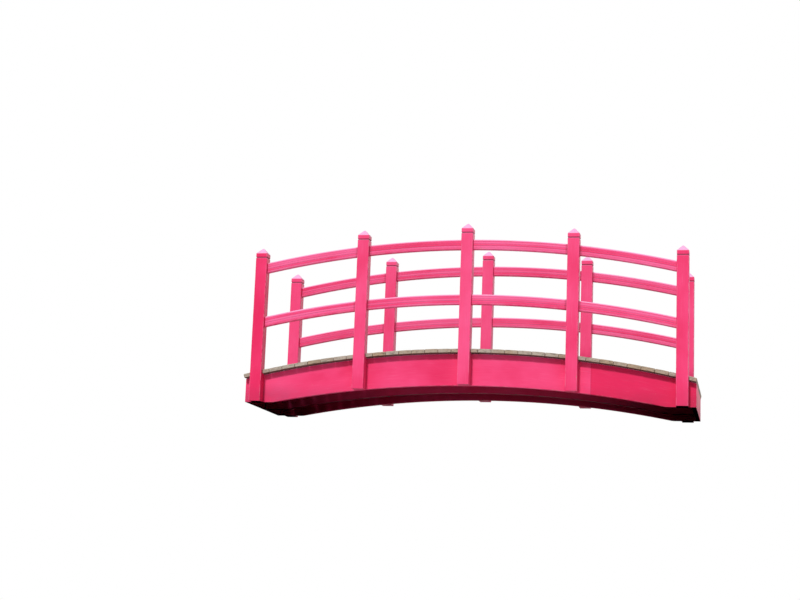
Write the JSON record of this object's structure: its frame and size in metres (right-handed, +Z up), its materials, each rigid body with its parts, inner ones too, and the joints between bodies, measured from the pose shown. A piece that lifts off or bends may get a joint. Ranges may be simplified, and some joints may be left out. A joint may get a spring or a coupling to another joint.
{
  "type": "arched timber footbridge",
  "caption": "Arched red timber garden footbridge with bowed stringers, a deck of cross boards and post-and-rail railings.",
  "frame": {"origin": "on the ground under the crown of the arch, midway across", "axes": "+X along the bridge, to the right seen from the front, +Y across it, from front to back, +Z up"},
  "size_m": [3.8926, 1.245, 1.5686],
  "materials": {
    "red_paint": "satin crimson red paint over timber, worn at the edges",
    "weathered_timber": "bare timber weathered grey tan, rough sawn"
  },
  "bodies": {
    "root": {"front_stringer": "red_paint", "back_stringer": "red_paint", "centre_stringer": "red_paint", "left_end_beam": "red_paint", "right_end_beam": "red_paint", "cross_tie_2": "red_paint", "cross_tie_3": "red_paint", "cross_tie_4": "red_paint", "deck_boards_1": "weathered_timber", "deck_boards_2": "weathered_timber", "deck_boards_3": "weathered_timber", "deck_boards_4": "weathered_timber", "front_post_1": "red_paint", "front_post_2": "red_paint", "front_post_3": "red_paint", "front_post_4": "red_paint", "front_post_5": "red_paint", "back_post_1": "red_paint", "back_post_2": "red_paint", "back_post_3": "red_paint", "back_post_4": "red_paint", "back_post_5": "red_paint", "front_top_rail_1": "red_paint", "front_top_rail_2": "red_paint", "front_top_rail_3": "red_paint", "front_top_rail_4": "red_paint", "back_top_rail_1": "red_paint", "back_top_rail_2": "red_paint", "back_top_rail_3": "red_paint", "back_top_rail_4": "red_paint", "front_mid_rail_1": "red_paint", "front_mid_rail_2": "red_paint", "front_mid_rail_3": "red_paint", "front_mid_rail_4": "red_paint", "back_mid_rail_1": "red_paint", "back_mid_rail_2": "red_paint", "back_mid_rail_3": "red_paint", "back_mid_rail_4": "red_paint"}
  },
  "joints": []
}
